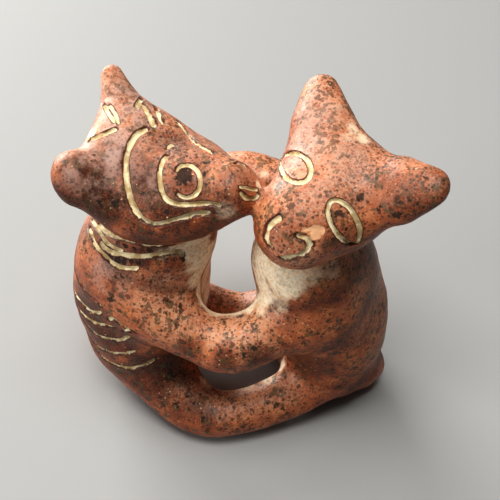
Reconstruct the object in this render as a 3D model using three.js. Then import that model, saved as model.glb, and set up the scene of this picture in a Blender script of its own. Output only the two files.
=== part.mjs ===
// A pair of squatting animals in burnished red clay, modelled by hand and fired as one solid piece.
// Millimetres. +Z is up, +X runs from the left animal to the right one, and +Y points to the far side.
// "Near" and "far" name the two sides of the pair: near is -Y, the side that the right animal looks to.
import * as THREE from "three";

// Driving dimensions, in millimetres.
// A limb is a row of balls, each x, y, z and radius, with a smooth skin drawn over them.
const NEAR_ARMS = [
  [-25, -3, 49, 13],
  [-18, -11.5, 43.5, 9.5],
  [-8, -16, 38, 7],
  [2, -17, 36.5, 7.5],
  [12.5, -13, 40, 7.5],
  [21, -7, 44, 11],
  [21.5, -2.5, 50, 13],
];
const FAR_ARMS = [
  [-20, 10, 50, 8],
  [-10, 13, 60, 7],
  [2.5, 13, 66, 6],
  [14, 11, 63, 6.5],
  [22, 8, 54, 8],
];
const NEAR_LEGS = [
  [-24, -4.5, 15, 11],
  [-19, -10.5, 12, 9],
  [-7.5, -18, 6.5, 7],
  [3.5, -18, 7, 6],
  [16, -12.5, 8.5, 6.5],
  [25, -6.5, 13, 7.5],
];
const FAR_LEGS = [
  [-22, 9, 14, 11],
  [-13, 14, 9.5, 7.5],
  [0, 16, 5.5, 6],
  [13, 15, 9.5, 8],
  [22, 9, 14, 11],
];
const TAIL = [
  [35.5, 0, 7, 4.5],
  [37.5, 1.5, 6, 4],
];

// A head has its own axes: forward along the snout, to its left, and up. Places on it are in these.
// Yaw, pitch and roll are in degrees. An ear has three ball radii: at its root, middle and tip.
const LEFT = {
  torso: [
    [-23, 2, 15, 11],
    [-24.5, 2, 29, 17.5],
    [-23, 4, 44, 17],
    [-16.5, 0, 60, 13],
  ],
  seat: [
    [-26, 3, 8.5, 9.5],
    [-19, 4, 8.5, 9.5],
  ],
  head: {
    centre: [-17, -0.5, 75.5],
    yaw: -22.5,
    pitch: 8,
    roll: 6,
    skull: [17.5, 14.5, 10],
    snoutTip: [20, 1.5, 4],
    snoutRadii: [10.5, 6.5],
    ears: [
      { root: [-7.5, -7, 3], tip: [-12, -12.5, 11], radii: [7.5, 7.8, 7] },
      { root: [-8, 4.5, 7.5], tip: [-18.5, 15.5, 15.5], radii: [10, 5.5, 3] },
    ],
  },
};
const RIGHT = {
  torso: [
    [27, 2, 14.5, 11.5],
    [26, 1, 28.5, 15],
    [20.5, 2.5, 47, 15],
    [18.5, -3.5, 59.5, 11.5],
  ],
  seat: [
    [22, 3, 8.5, 9.5],
    [29, 2, 8.5, 9.5],
  ],
  head: {
    centre: [25, -3, 79],
    yaw: -135,
    pitch: -0.5,
    roll: 0.5,
    skull: [15.5, 12, 12.5],
    snoutTip: [13, 0.5, -1.5],
    snoutRadii: [8.5, 9],
    ears: [
      { root: [-3.5, 7.5, 4], tip: [-9.5, 20, 12.5], radii: [7.5, 8, 4.5] },
      { root: [-1.5, -6.5, 6], tip: [-10.5, -18, 13], radii: [9, 7.8, 4.5] },
    ],
  },
};

const TORSO_DEPTH = 1.08; // a torso is this much deeper along Y than it is wide
const EAR_FLATNESS = 0.7; // an ear's thickness over its breadth
const EAR_FACE = [0.5, 0, 0.85]; // the way an ear's broad face looks, in the head's axes
const SNOUT_ROOT = [0, 0, -1];

// How far the clay is smoothed over where one part meets the next.
const SMOOTH = {
  legs: 8,
  bodies: 6,
  nearArms: 7,
  farArms: 5,
  tail: 4,
  seat: 6,
  leftHead: 4,
  rightHead: 3,
  snout: 9,
  ear: 7,
};

// The surface is sampled with cubes. Half a cube lies below the table, so the table cuts cubes in half.
const CUBE = 3;
const LOW = [-48, -33, -CUBE / 2];
const HIGH = [54, 33, 108];
const MIDDLE = [3.7, -1.1]; // x and y of the middle of the pair, which becomes the origin
const STEPS_PER_SPAN = 4; // balls that the smooth skin puts between two named ones
const PRESSED = 0.7; // clay lower than this is pressed flat to the table
const RIM = 1.2; // a pressed point this close to the skin belongs to the rim of the flat
const SETTLES = 6; // corrections that bring a corner onto the skin
const STEP = 0.05; // distance over which a slope is measured
const STEEPEST_TAPER = 0.999; // sine of the steepest taper between two balls
const GENTLEST_SLOPE = 0.2; // least squared slope, which keeps a correction short
const TINY = 1e-9; // keeps a division away from zero

const CLAY = { color: 0x9c4a2f, roughness: 0.45, metalness: 0 };

// Points

const minus = (a, b) => [a[0] - b[0], a[1] - b[1], a[2] - b[2]];
const dot = (a, b) => a[0] * b[0] + a[1] * b[1] + a[2] * b[2];
const mix = (a, b, t) => a + (b - a) * t;
const clamp01 = (t) => Math.min(Math.max(t, 0), 1);

// Smooth union of two distances, rounded over a width k.
function smoothUnion(a, b, k) {
  const overlap = Math.max(k - Math.abs(a - b), 0) / k;
  return Math.min(a, b) - (overlap * overlap * k) / 4;
}

// Distance to the skin drawn tight over two balls. p is taken from the first ball's centre.
function overTwoBalls(p, span, radiusA, radiusB) {
  const length = Math.hypot(...span);
  const slope = Math.max(-STEEPEST_TAPER, Math.min(STEEPEST_TAPER, (radiusA - radiusB) / length));
  const along = dot(p, span) / length;
  const across = Math.sqrt(Math.max(dot(p, p) - along * along, 0));
  const t = clamp01((along - (across * slope) / Math.sqrt(1 - slope * slope)) / length);
  return Math.hypot(along - t * length, across) - mix(radiusA, radiusB, t);
}

// One value of the smooth curve through b and c, where a comes before and d after.
function smoothCurve(a, b, c, d, t) {
  const straight = 2 * b + (c - a) * t;
  const bend = (2 * a - 5 * b + 4 * c - d) * t * t + (3 * b - a - 3 * c + d) * t * t * t;
  return (straight + bend) / 2;
}

// Fills a row of balls in along a smooth curve.
function fillIn(balls) {
  const last = balls.length - 1;
  const before = balls[0].map((value, k) => 2 * value - balls[1][k]);
  const after = balls[last].map((value, k) => 2 * value - balls[last - 1][k]);
  const row = [before, ...balls, after];
  const filled = [];
  for (let i = 1; i <= last; i++) {
    const [a, b, c, d] = row.slice(i - 1, i + 3);
    for (let step = 0; step < STEPS_PER_SPAN; step++) {
      const t = step / STEPS_PER_SPAN;
      filled.push(b.map((value, k) => smoothCurve(a[k], value, c[k], d[k], t)));
    }
  }
  filled.push(balls[last]);
  return filled;
}

// Distance to a limb. depth is how much deeper than wide it is.
function limb(balls, depth = 1) {
  const row = fillIn(balls).map(([x, y, z, radius]) => ({ at: [x, y / depth, z], radius }));
  return (p) => {
    const q = [p[0], p[1] / depth, p[2]];
    let nearest = Infinity;
    for (let i = 1; i < row.length; i++) {
      const a = row[i - 1];
      const b = row[i];
      const d = overTwoBalls(minus(q, a.at), minus(b.at, a.at), a.radius, b.radius);
      nearest = Math.min(nearest, d);
    }
    return nearest;
  };
}

// Distance to an ellipsoid about the origin, close enough near its surface.
function ellipsoid(p, radii) {
  const scaled = p.map((value, k) => value / radii[k]);
  const steep = scaled.map((value, k) => value / radii[k]);
  const size = Math.hypot(...scaled);
  return (size * (size - 1)) / (Math.hypot(...steep) + TINY);
}

// Distance to an ear, a leaf of three balls pressed flatter across its broad face.
function ear({ root, tip, radii }) {
  const half = minus(tip, root).map((value) => value / 2);
  const along = dot(EAR_FACE, half) / dot(half, half);
  const leaning = EAR_FACE.map((value, k) => value - half[k] * along);
  const face = leaning.map((value) => value / Math.hypot(...leaning));
  const scale = (1 + EAR_FLATNESS) / 2;
  return (p) => {
    const from = minus(p, root);
    const through = dot(from, face) * (1 / EAR_FLATNESS - 1);
    const q = from.map((value, k) => value + face[k] * through);
    const lower = overTwoBalls(q, half, radii[0], radii[1]);
    const upper = overTwoBalls(minus(q, half), half, radii[1], radii[2]);
    return Math.min(lower, upper) * scale;
  };
}

// The head's forward, left and up directions.
function headAxes({ yaw, pitch, roll }) {
  const turn = new THREE.Matrix4().makeRotationZ(THREE.MathUtils.degToRad(yaw));
  turn.multiply(new THREE.Matrix4().makeRotationY(THREE.MathUtils.degToRad(-pitch)));
  turn.multiply(new THREE.Matrix4().makeRotationX(THREE.MathUtils.degToRad(roll)));
  const axes = [new THREE.Vector3(), new THREE.Vector3(), new THREE.Vector3()];
  turn.extractBasis(...axes);
  return axes.map((axis) => axis.toArray());
}

// Distance to a head: a skull, a tapering snout and two ears.
function head(spec) {
  const axes = headAxes(spec);
  const ears = spec.ears.map(ear);
  const snout = minus(spec.snoutTip, SNOUT_ROOT);
  return (p) => {
    const from = minus(p, spec.centre);
    const q = axes.map((axis) => dot(from, axis));
    const snoutSkin = overTwoBalls(minus(q, SNOUT_ROOT), snout, ...spec.snoutRadii);
    let d = smoothUnion(ellipsoid(q, spec.skull), snoutSkin, SMOOTH.snout);
    for (const leaf of ears) d = smoothUnion(d, leaf(q), SMOOTH.ear);
    return d;
  };
}

// Distance to the whole pair, before its underside is cut off flat.
function pair() {
  const parts = [
    [limb(LEFT.torso, TORSO_DEPTH), 0],
    [limb(NEAR_LEGS), SMOOTH.legs],
    [limb(RIGHT.torso, TORSO_DEPTH), SMOOTH.bodies],
    [limb(FAR_LEGS), SMOOTH.legs],
    [limb(LEFT.seat), SMOOTH.seat],
    [limb(RIGHT.seat), SMOOTH.seat],
    [limb(NEAR_ARMS), SMOOTH.nearArms],
    [limb(FAR_ARMS), SMOOTH.farArms],
    [limb(TAIL), SMOOTH.tail],
    [head(LEFT.head), SMOOTH.leftHead],
    [head(RIGHT.head), SMOOTH.rightHead],
  ];
  const [[first], ...others] = parts;
  return (p) => {
    let d = first(p);
    for (const [part, width] of others) d = smoothUnion(d, part(p), width);
    return d;
  };
}

// The slope of a distance at p.
function slopeAt(distance, p) {
  return [0, 1, 2].map((k) => {
    const ahead = [...p];
    const behind = [...p];
    ahead[k] += STEP;
    behind[k] -= STEP;
    return (distance(ahead) - distance(behind)) / (2 * STEP);
  });
}

// Moves a corner of the mesh onto the skin, level if it is pressed to the table.
function settle(distance, corner) {
  const p = [...corner];
  const pressed = p[2] < PRESSED;
  if (pressed) p[2] = 0;
  if (pressed && distance(p) < -RIM) return p;
  for (let i = 0; i < SETTLES; i++) {
    const slope = slopeAt(distance, p);
    if (pressed) slope[2] = 0;
    const steep = Math.max(dot(slope, slope), GENTLEST_SLOPE);
    const off = distance(p) / steep;
    slope.forEach((value, k) => (p[k] -= value * off));
  }
  p[2] = Math.max(p[2], 0);
  return p;
}

// Where a square of samples goes in, out, in and out round its corners, the mesh would pinch.
// The clay is filled in at its outer sample closest to the skin. Says whether it found such a square.
function unpinch(sampled, square) {
  const [a, b, c, d] = square.map((index) => sampled[index] < 0);
  if (a !== c || b !== d || a === b) return false;
  const outer = square.filter((index) => sampled[index] >= 0);
  const closest = sampled[outer[0]] < sampled[outer[1]] ? outer[0] : outer[1];
  sampled[closest] = -Math.max(sampled[closest], STEP);
  return true;
}

// A closed mesh of the skin: one corner in each cube that it crosses, one face over each crossed edge.
function skinOf(distance) {
  const count = LOW.map((low, k) => Math.ceil((HIGH[k] - low) / CUBE) + 1);
  const cubes = count.map((n) => n - 1);
  const stride = [1, count[0], count[0] * count[1]];
  const place = (i, j, k) => [LOW[0] + i * CUBE, LOW[1] + j * CUBE, LOW[2] + k * CUBE];
  const sampled = new Float32Array(count[0] * count[1] * count[2]);
  const everyCube = (extent, visit) => {
    for (let k = 0; k < extent[2]; k++) {
      for (let j = 0; j < extent[1]; j++) {
        for (let i = 0; i < extent[0]; i++) visit(i, j, k, i + j * stride[1] + k * stride[2]);
      }
    }
  };
  everyCube(count, (i, j, k, index) => {
    const p = place(i, j, k);
    sampled[index] = Math.max(distance(p), -p[2]);
  });
  for (let pinched = true; pinched; ) {
    pinched = false;
    everyCube(cubes, (i, j, k, index) => {
      for (let axis = 0; axis < 3; axis++) {
        const u = stride[(axis + 1) % 3];
        const v = stride[(axis + 2) % 3];
        if (unpinch(sampled, [index, index + u, index + u + v, index + v])) pinched = true;
      }
    });
  }

  const corners = [];
  const cornerOf = new Map();
  everyCube(cubes, (i, j, k, index) => {
    const crossings = [];
    for (let axis = 0; axis < 3; axis++) {
      const sides = [0, 1, 2].filter((side) => side !== axis);
      for (const [u, v] of [[0, 0], [1, 0], [0, 1], [1, 1]]) {
        const start = index + u * stride[sides[0]] + v * stride[sides[1]];
        const a = sampled[start];
        const b = sampled[start + stride[axis]];
        if (a < 0 === b < 0) continue;
        const offset = [0, 0, 0];
        offset[axis] = a / (a - b);
        offset[sides[0]] = u;
        offset[sides[1]] = v;
        crossings.push(offset);
      }
    }
    if (!crossings.length) return;
    const middle = [0, 1, 2].map((n) => crossings.reduce((sum, c) => sum + c[n], 0) / crossings.length);
    cornerOf.set(index, corners.length);
    corners.push(settle(distance, place(i + middle[0], j + middle[1], k + middle[2])));
  });

  const faces = [];
  const addFace = (a, b, c, d) => {
    const across = Math.hypot(...minus(corners[a], corners[c]));
    const other = Math.hypot(...minus(corners[b], corners[d]));
    if (across < other) faces.push(a, b, c, a, c, d);
    else faces.push(a, b, d, b, c, d);
  };
  everyCube(cubes, (i, j, k, index) => {
    for (let axis = 0; axis < 3; axis++) {
      const u = stride[(axis + 1) % 3];
      const v = stride[(axis + 2) % 3];
      const inside = sampled[index] < 0;
      if (inside === sampled[index + stride[axis]] < 0) continue;
      const around = [index - u - v, index - v, index, index - u].map((cube) => cornerOf.get(cube));
      addFace(...(inside ? around : around.reverse()));
    }
  });

  const skin = new THREE.BufferGeometry();
  skin.setAttribute("position", new THREE.Float32BufferAttribute(corners.flat(), 3));
  skin.setIndex(faces);
  return skin;
}

const clayForm = skinOf(pair());
clayForm.translate(-MIDDLE[0], -MIDDLE[1], 0);
clayForm.computeVertexNormals();

const figurine = new THREE.Mesh(clayForm, new THREE.MeshStandardMaterial(CLAY));
figurine.name = "cat_pair";

const group = new THREE.Group();
group.add(figurine);
export default group;
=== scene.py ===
# A pair of squatting animals in burnished red clay, with cut eyes, ribs, collar and bridle lines.
# Lengths are in millimetres until the mesh is made, and in metres after that.
# +X runs from the left animal to the right one, -Y is the near side and +Z is up.
import itertools
import math

import bpy
import numpy as np
from mathutils import Matrix, Vector


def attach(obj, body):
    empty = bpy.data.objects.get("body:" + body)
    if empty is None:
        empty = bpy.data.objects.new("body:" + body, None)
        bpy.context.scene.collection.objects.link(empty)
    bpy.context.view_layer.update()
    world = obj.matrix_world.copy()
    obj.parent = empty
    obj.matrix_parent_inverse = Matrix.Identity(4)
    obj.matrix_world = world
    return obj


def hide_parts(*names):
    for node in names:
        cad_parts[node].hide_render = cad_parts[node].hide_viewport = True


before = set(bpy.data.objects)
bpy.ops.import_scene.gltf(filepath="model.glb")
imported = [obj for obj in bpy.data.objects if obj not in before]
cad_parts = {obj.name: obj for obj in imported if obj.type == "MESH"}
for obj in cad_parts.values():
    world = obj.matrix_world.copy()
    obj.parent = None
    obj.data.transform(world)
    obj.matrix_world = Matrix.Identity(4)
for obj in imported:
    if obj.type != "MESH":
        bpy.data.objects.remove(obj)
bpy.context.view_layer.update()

METRE = 0.001  # metres in a millimetre

# The form, with the same driving dimensions as the model.
# A limb is a row of balls, each x, y, z and radius, with a smooth skin drawn over them.
NEAR_ARMS = [
    (-25, -3, 49, 13),
    (-18, -11.5, 43.5, 9.5),
    (-8, -16, 38, 7),
    (2, -17, 36.5, 7.5),
    (12.5, -13, 40, 7.5),
    (21, -7, 44, 11),
    (21.5, -2.5, 50, 13),
]
FAR_ARMS = [
    (-20, 10, 50, 8),
    (-10, 13, 60, 7),
    (2.5, 13, 66, 6),
    (14, 11, 63, 6.5),
    (22, 8, 54, 8),
]
NEAR_LEGS = [
    (-24, -4.5, 15, 11),
    (-19, -10.5, 12, 9),
    (-7.5, -18, 6.5, 7),
    (3.5, -18, 7, 6),
    (16, -12.5, 8.5, 6.5),
    (25, -6.5, 13, 7.5),
]
FAR_LEGS = [
    (-22, 9, 14, 11),
    (-13, 14, 9.5, 7.5),
    (0, 16, 5.5, 6),
    (13, 15, 9.5, 8),
    (22, 9, 14, 11),
]
TAIL = [(35.5, 0, 7, 4.5), (37.5, 1.5, 6, 4)]

# A head has its own axes: forward along the snout, to its left, and up. Places on it are in these.
# Yaw, pitch and roll are in degrees. An ear has three ball radii: at its root, middle and tip.
LEFT = {
    "torso": [(-23, 2, 15, 11), (-24.5, 2, 29, 17.5), (-23, 4, 44, 17), (-16.5, 0, 60, 13)],
    "seat": [(-26, 3, 8.5, 9.5), (-19, 4, 8.5, 9.5)],
    "centre": (-17, -0.5, 75.5),
    "turn": (-22.5, 8, 6),
    "skull": (17.5, 14.5, 10),
    "snout_tip": (20, 1.5, 4),
    "snout_radii": (10.5, 6.5),
    "ears": [
        {"root": (-7.5, -7, 3), "tip": (-12, -12.5, 11), "radii": (7.5, 7.8, 7)},
        {"root": (-8, 4.5, 7.5), "tip": (-18.5, 15.5, 15.5), "radii": (10, 5.5, 3)},
    ],
}
RIGHT = {
    "torso": [(27, 2, 14.5, 11.5), (26, 1, 28.5, 15), (20.5, 2.5, 47, 15), (18.5, -3.5, 59.5, 11.5)],
    "seat": [(22, 3, 8.5, 9.5), (29, 2, 8.5, 9.5)],
    "centre": (25, -3, 79),
    "turn": (-135, -0.5, 0.5),
    "skull": (15.5, 12, 12.5),
    "snout_tip": (13, 0.5, -1.5),
    "snout_radii": (8.5, 9),
    "ears": [
        {"root": (-3.5, 7.5, 4), "tip": (-9.5, 20, 12.5), "radii": (7.5, 8, 4.5)},
        {"root": (-1.5, -6.5, 6), "tip": (-10.5, -18, 13), "radii": (9, 7.8, 4.5)},
    ],
}
TORSO_DEPTH = 1.08  # a torso is this much deeper along Y than it is wide
EAR_FLATNESS = 0.7  # an ear's thickness over its breadth
EAR_FACE = (0.5, 0, 0.85)  # the way an ear's broad face looks, in the head's axes
SNOUT_ROOT = (0, 0, -1)
SMOOTH = {
    "legs": 8, "bodies": 6, "near_arms": 7, "far_arms": 5, "tail": 4, "seat": 6,
    "left_head": 4, "right_head": 3, "snout": 9, "ear": 7,
}
MIDDLE = (3.7, -1.1, 0)  # the middle of the pair, which becomes the origin

# Sampling of the skin.
CELL = 1.1
LOW = (-48, -33, -CELL / 2)
HIGH = (54, 33, 108)
STEPS_PER_SPAN = 4  # balls that the smooth skin puts between two named ones
PRESSED = 0.3  # clay lower than this is pressed flat to the table
RIM = 0.5  # a pressed point this close to the skin belongs to the rim of the flat
SETTLES = 3  # corrections that bring a corner onto the skin
STEP = 0.1  # distance over which a slope is measured
STEEPEST_TAPER = 0.999
GENTLEST_SLOPE = 0.2
TINY = 1e-6
FINE_EDGE = 0.36  # longest edge beside a cut line
FINE_ROUNDS = 3
FINE_REACH = 1.3  # the fine mesh reaches this far from a cut line

# The camera, where the photograph's camera stood.
PICTURE = 500  # pixels across the square picture
SENSOR = 36
TARGET = (4.5, 0, 53)
CAMERA_TURN = 6  # degrees to the right of the near side
CAMERA_HEIGHT = 50  # degrees above the table
CAMERA_DISTANCE = 330
PIXEL = 0.25  # width of a pixel of the picture at the target

F = np.float32


def vector(values):
    return np.asarray(values, F)


def unit(values):
    values = np.asarray(values, float)
    return values / np.linalg.norm(values)


# Distances

def length_of(p):
    return np.sqrt((p * p).sum(-1))


def smooth_union(a, b, width):
    overlap = np.maximum(width - np.abs(a - b), 0) / width
    return np.minimum(a, b) - overlap * overlap * F(width / 4)


def over_two_balls(p, span, radius_a, radius_b):
    "Distance to the skin drawn tight over two balls. p is taken from the first ball's centre."
    length = float(np.linalg.norm(span))
    slope = float(np.clip((radius_a - radius_b) / length, -STEEPEST_TAPER, STEEPEST_TAPER))
    along = p @ vector(span / length)
    across = np.sqrt(np.maximum((p * p).sum(-1) - along * along, 0))
    t = np.clip((along - across * F(slope / math.sqrt(1 - slope * slope))) / F(length), 0, 1)
    off = along - t * F(length)
    return np.sqrt(off * off + across * across) - (F(radius_a) + F(radius_b - radius_a) * t)


def smooth_curve(points, steps):
    "Points of a smooth curve through the given ones."
    row = np.asarray(points, float)
    row = np.vstack([2 * row[0] - row[1], row, 2 * row[-1] - row[-2]])
    filled = []
    for a, b, c, d in zip(row, row[1:], row[2:], row[3:]):
        for t in np.arange(steps) / steps:
            straight = 2 * b + (c - a) * t
            bend = (2 * a - 5 * b + 4 * c - d) * t**2 + (3 * b - a - 3 * c + d) * t**3
            filled.append((straight + bend) / 2)
    filled.append(row[-2])
    return np.array(filled)


def limb(balls, depth=1):
    row = smooth_curve(balls, STEPS_PER_SPAN)
    scale = vector((1, depth, 1))

    def distance(p):
        q = p / scale
        nearest = None
        for a, b in zip(row, row[1:]):
            start = a[:3] / scale
            d = over_two_balls(q - vector(start), b[:3] / scale - start, a[3], b[3])
            nearest = d if nearest is None else np.minimum(nearest, d)
        return nearest

    return distance


def ellipsoid(p, radii):
    scaled = p / vector(radii)
    size = length_of(scaled)
    return size * (size - 1) / (length_of(scaled / vector(radii)) + F(TINY))


def ear(root, tip, radii):
    "Distance to a leaf of three balls, pressed flatter across its broad face."
    half = (np.array(tip, float) - root) / 2
    face = unit(EAR_FACE - half * (np.dot(EAR_FACE, half) / (half @ half)))
    scale = (1 + EAR_FLATNESS) / 2

    def distance(p):
        q = p - vector(root)
        q = q + (q @ vector(face))[..., None] * vector(face * (1 / EAR_FLATNESS - 1))
        lower = over_two_balls(q, half, radii[0], radii[1])
        upper = over_two_balls(q - vector(half), half, radii[1], radii[2])
        return np.minimum(lower, upper) * F(scale)

    return distance


def head_axes(animal):
    "Forward, left and up, as the columns of a turn."
    yaw, pitch, roll = (math.radians(angle) for angle in animal["turn"])
    turn = Matrix.Rotation(yaw, 3, "Z") @ Matrix.Rotation(-pitch, 3, "Y") @ Matrix.Rotation(roll, 3, "X")
    return np.array(turn)


def head(animal):
    axes = head_axes(animal).astype(F)
    ears = [ear(**spec) for spec in animal["ears"]]
    snout = np.subtract(animal["snout_tip"], SNOUT_ROOT)

    def distance(p):
        q = (p - vector(animal["centre"])) @ axes
        skin = over_two_balls(q - vector(SNOUT_ROOT), snout, *animal["snout_radii"])
        d = smooth_union(ellipsoid(q, animal["skull"]), skin, SMOOTH["snout"])
        for leaf in ears:
            d = smooth_union(d, leaf(q), SMOOTH["ear"])
        return d

    return distance


PARTS = [
    (limb(LEFT["torso"], TORSO_DEPTH), 0),
    (limb(NEAR_LEGS), SMOOTH["legs"]),
    (limb(RIGHT["torso"], TORSO_DEPTH), SMOOTH["bodies"]),
    (limb(FAR_LEGS), SMOOTH["legs"]),
    (limb(LEFT["seat"]), SMOOTH["seat"]),
    (limb(RIGHT["seat"]), SMOOTH["seat"]),
    (limb(NEAR_ARMS), SMOOTH["near_arms"]),
    (limb(FAR_ARMS), SMOOTH["far_arms"]),
    (limb(TAIL), SMOOTH["tail"]),
    (head(LEFT), SMOOTH["left_head"]),
    (head(RIGHT), SMOOTH["right_head"]),
]


def distance_to_pair(p):
    "Distance to the whole pair, before its underside is cut off flat."
    p = np.asarray(p, F)
    joined = None
    for part, width in PARTS:
        d = part(p)
        joined = d if joined is None else smooth_union(joined, d, width)
    return joined


def slope_at(p):
    slope = np.empty(p.shape, F)
    for k in range(3):
        ahead = np.zeros(3, F)
        ahead[k] = STEP
        slope[..., k] = (distance_to_pair(p + ahead) - distance_to_pair(p - ahead)) / F(2 * STEP)
    return slope


# The mesh of the skin

def settle(points):
    "Moves points onto the skin, level if they are pressed to the table."
    p = points.astype(F)
    pressed = p[:, 2] < PRESSED
    p[pressed, 2] = 0
    moving = np.flatnonzero(~pressed | (distance_to_pair(p) > -RIM))
    for _ in range(SETTLES):
        q = p[moving]
        slope = slope_at(q)
        slope[pressed[moving], 2] = 0
        steep = np.maximum((slope * slope).sum(-1), GENTLEST_SLOPE)
        p[moving] = q - slope * (distance_to_pair(q) / steep)[:, None]
    p[:, 2] = np.maximum(p[:, 2], 0)
    return p


def shifted(values, offset, size):
    "The block of a grid of values that starts at offset."
    return values[tuple(slice(start, start + n) for start, n in zip(offset, size))]


def unpinch(sampled):
    "Fills in clay where a square of samples goes in, out, in and out round its corners."
    found = True
    while found:
        found = False
        for axis in range(3):
            u, v = np.eye(3, dtype=int)[[(axis + 1) % 3, (axis + 2) % 3]]
            size = np.array(sampled.shape) - u - v
            offsets = [0 * u, u, u + v, v]
            a, b, c, d = (shifted(sampled, offset, size) < 0 for offset in offsets)
            for corner in np.argwhere((a == c) & (b == d) & (a != b)):
                ring = [tuple(corner + offset) for offset in offsets]
                outer = [place for place in ring if sampled[place] >= 0]
                if len(outer) == 2:
                    closest = min(outer, key=lambda place: sampled[place])
                    sampled[closest] = -max(sampled[closest], STEP)
                    found = True


def sample_skin():
    count = [math.ceil((high - low) / CELL) + 1 for low, high in zip(LOW, HIGH)]
    axes = [low + CELL * np.arange(n) for low, n in zip(LOW, count)]
    sampled = np.empty(count, F)
    for i, x in enumerate(axes[0]):
        y, z = np.meshgrid(axes[1], axes[2], indexing="ij")
        p = np.stack([np.full(y.shape, x), y, z], -1)
        sampled[i] = np.maximum(distance_to_pair(p), -z)
    unpinch(sampled)
    return sampled


def closed_skin():
    "One corner in each cube that the skin crosses, and two triangles over each crossed edge."
    sampled = sample_skin()
    cubes = np.array(sampled.shape) - 1
    total = np.zeros((*cubes, 3), F)
    crossings = np.zeros(cubes, F)
    for axis in range(3):
        sides = [side for side in range(3) if side != axis]
        for shift in itertools.product((0, 1), repeat=2):
            start = np.zeros(3, int)
            start[sides] = shift
            end = start.copy()
            end[axis] = 1
            a = shifted(sampled, start, cubes)
            b = shifted(sampled, end, cubes)
            crossed = (a < 0) != (b < 0)
            t = np.where(crossed, a / np.where(crossed, a - b, 1), 0)
            crossings += crossed
            total[..., axis] += t
            for side, value in zip(sides, shift):
                total[..., side] += value * crossed
    active = crossings > 0
    places = np.argwhere(active) + total[active] / crossings[active][:, None]
    corner_of = np.full(cubes, -1)
    corner_of[active] = np.arange(active.sum())
    corners = settle(vector(LOW) + places * F(CELL))

    faces = []
    for axis in range(3):
        u, v = np.eye(3, dtype=int)[[(axis + 1) % 3, (axis + 2) % 3]]
        size = cubes - u - v
        a = shifted(sampled, u + v, size) < 0
        b = shifted(sampled, u + v + np.eye(3, dtype=int)[axis], size) < 0
        ring = [shifted(corner_of, offset, size) for offset in (0 * u, u, u + v, v)]
        for rising, order in ((a & ~b, (0, 1, 2, 3)), (~a & b, (3, 2, 1, 0))):
            faces.append(np.stack([ring[n][rising] for n in order], -1))
    quads = np.concatenate(faces)
    across = length_of(corners[quads[:, 0]] - corners[quads[:, 2]])
    other = length_of(corners[quads[:, 1]] - corners[quads[:, 3]])
    first = np.where((across < other)[:, None], quads[:, [0, 1, 2]], quads[:, [0, 1, 3]])
    second = np.where((across < other)[:, None], quads[:, [0, 2, 3]], quads[:, [1, 2, 3]])
    return corners, np.concatenate([first, second])


def split_long_edges(corners, faces, fine_at):
    "Halves the edges that are too long where the mesh has to be fine."
    edges = np.sort(np.stack([faces, np.roll(faces, -1, 1)], -1), -1).reshape(-1, 2)
    edges, which = np.unique(edges, axis=0, return_inverse=True)
    which = which.reshape(-1, 3)
    middles = (corners[edges[:, 0]] + corners[edges[:, 1]]) / 2
    lengths = length_of(corners[edges[:, 0]] - corners[edges[:, 1]])
    long = (lengths > FINE_EDGE) & fine_at(middles)
    added = np.full(len(edges), -1)
    added[long] = len(corners) + np.arange(long.sum())
    corners = np.concatenate([corners, settle(middles[long])])
    middle = added[which]
    cuts = (middle >= 0).sum(1)
    result = [faces[cuts == 0]]
    for n in (1, 2):
        # Each triangle is turned round until its cut edges come first.
        chosen = np.flatnonzero(cuts == n)
        cut = middle[chosen] >= 0
        turn = np.argmax(cut if n == 1 else ~cut, axis=1) + (n - 1)
        order = (turn[:, None] + np.arange(3)) % 3
        a, b, c = np.take_along_axis(faces[chosen], order, 1).T
        p, q, _ = np.take_along_axis(middle[chosen], order, 1).T
        if n == 1:
            result += [np.stack([a, p, c], 1), np.stack([p, b, c], 1)]
        else:
            result += [np.stack([p, b, q], 1), np.stack([a, p, q], 1), np.stack([a, q, c], 1)]
    a, b, c = faces[cuts == 3].T
    p, q, r = middle[cuts == 3].T
    result += [np.stack(triangle, 1) for triangle in ((a, p, r), (p, b, q), (r, q, c), (p, q, r))]
    return corners, np.concatenate(result)


# Cut lines

def camera_axes():
    turn = math.radians(CAMERA_TURN)
    height = math.radians(CAMERA_HEIGHT)
    right = np.array([math.cos(turn), math.sin(turn), 0])
    level = np.array([math.sin(turn), -math.cos(turn), 0])
    back = level * math.cos(height) + np.array([0, 0, math.sin(height)])
    return right, np.cross(back, right), back


RIGHTWARDS, UPWARDS, BACKWARDS = camera_axes()
EYE = TARGET + BACKWARDS * CAMERA_DISTANCE
MARCHES = 90
SHORTEST_MARCH = STEP / 4
TOO_FAR = 420


def fall_onto_skin(start, direction):
    "Where lines from start meet the skin, or come closest to it."
    walked = np.zeros(len(start))
    closest = np.full(len(start), np.inf)
    best = start.copy()
    for _ in range(MARCHES):
        p = start + direction * walked[:, None]
        d = distance_to_pair(p)
        nearer = d < closest
        closest[nearer] = d[nearer]
        best[nearer] = p[nearer]
        walked = np.where((d > 0) & (walked < TOO_FAR), walked + np.maximum(d, SHORTEST_MARCH), walked)
    return settle(best)


def seen(points):
    "Places on the skin that the camera sees, from millimetres right and up of the picture's middle."
    plane = np.asarray(points, float)
    through = TARGET + plane[:, :1] * RIGHTWARDS + plane[:, 1:] * UPWARDS
    direction = through - EYE
    direction /= np.linalg.norm(direction, axis=1, keepdims=True)
    return fall_onto_skin(np.broadcast_to(EYE, through.shape).copy(), direction)


DRUM_RADIUS = 30
TORSO_AXIS = (-24, 3)  # x and y of the upright axis of the left torso
# Crown and muzzle of the left animal, as right and up of the picture's middle.
FACE_MIDDLE = [(-20, 32.5), (1.2, 18.6)]


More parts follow.
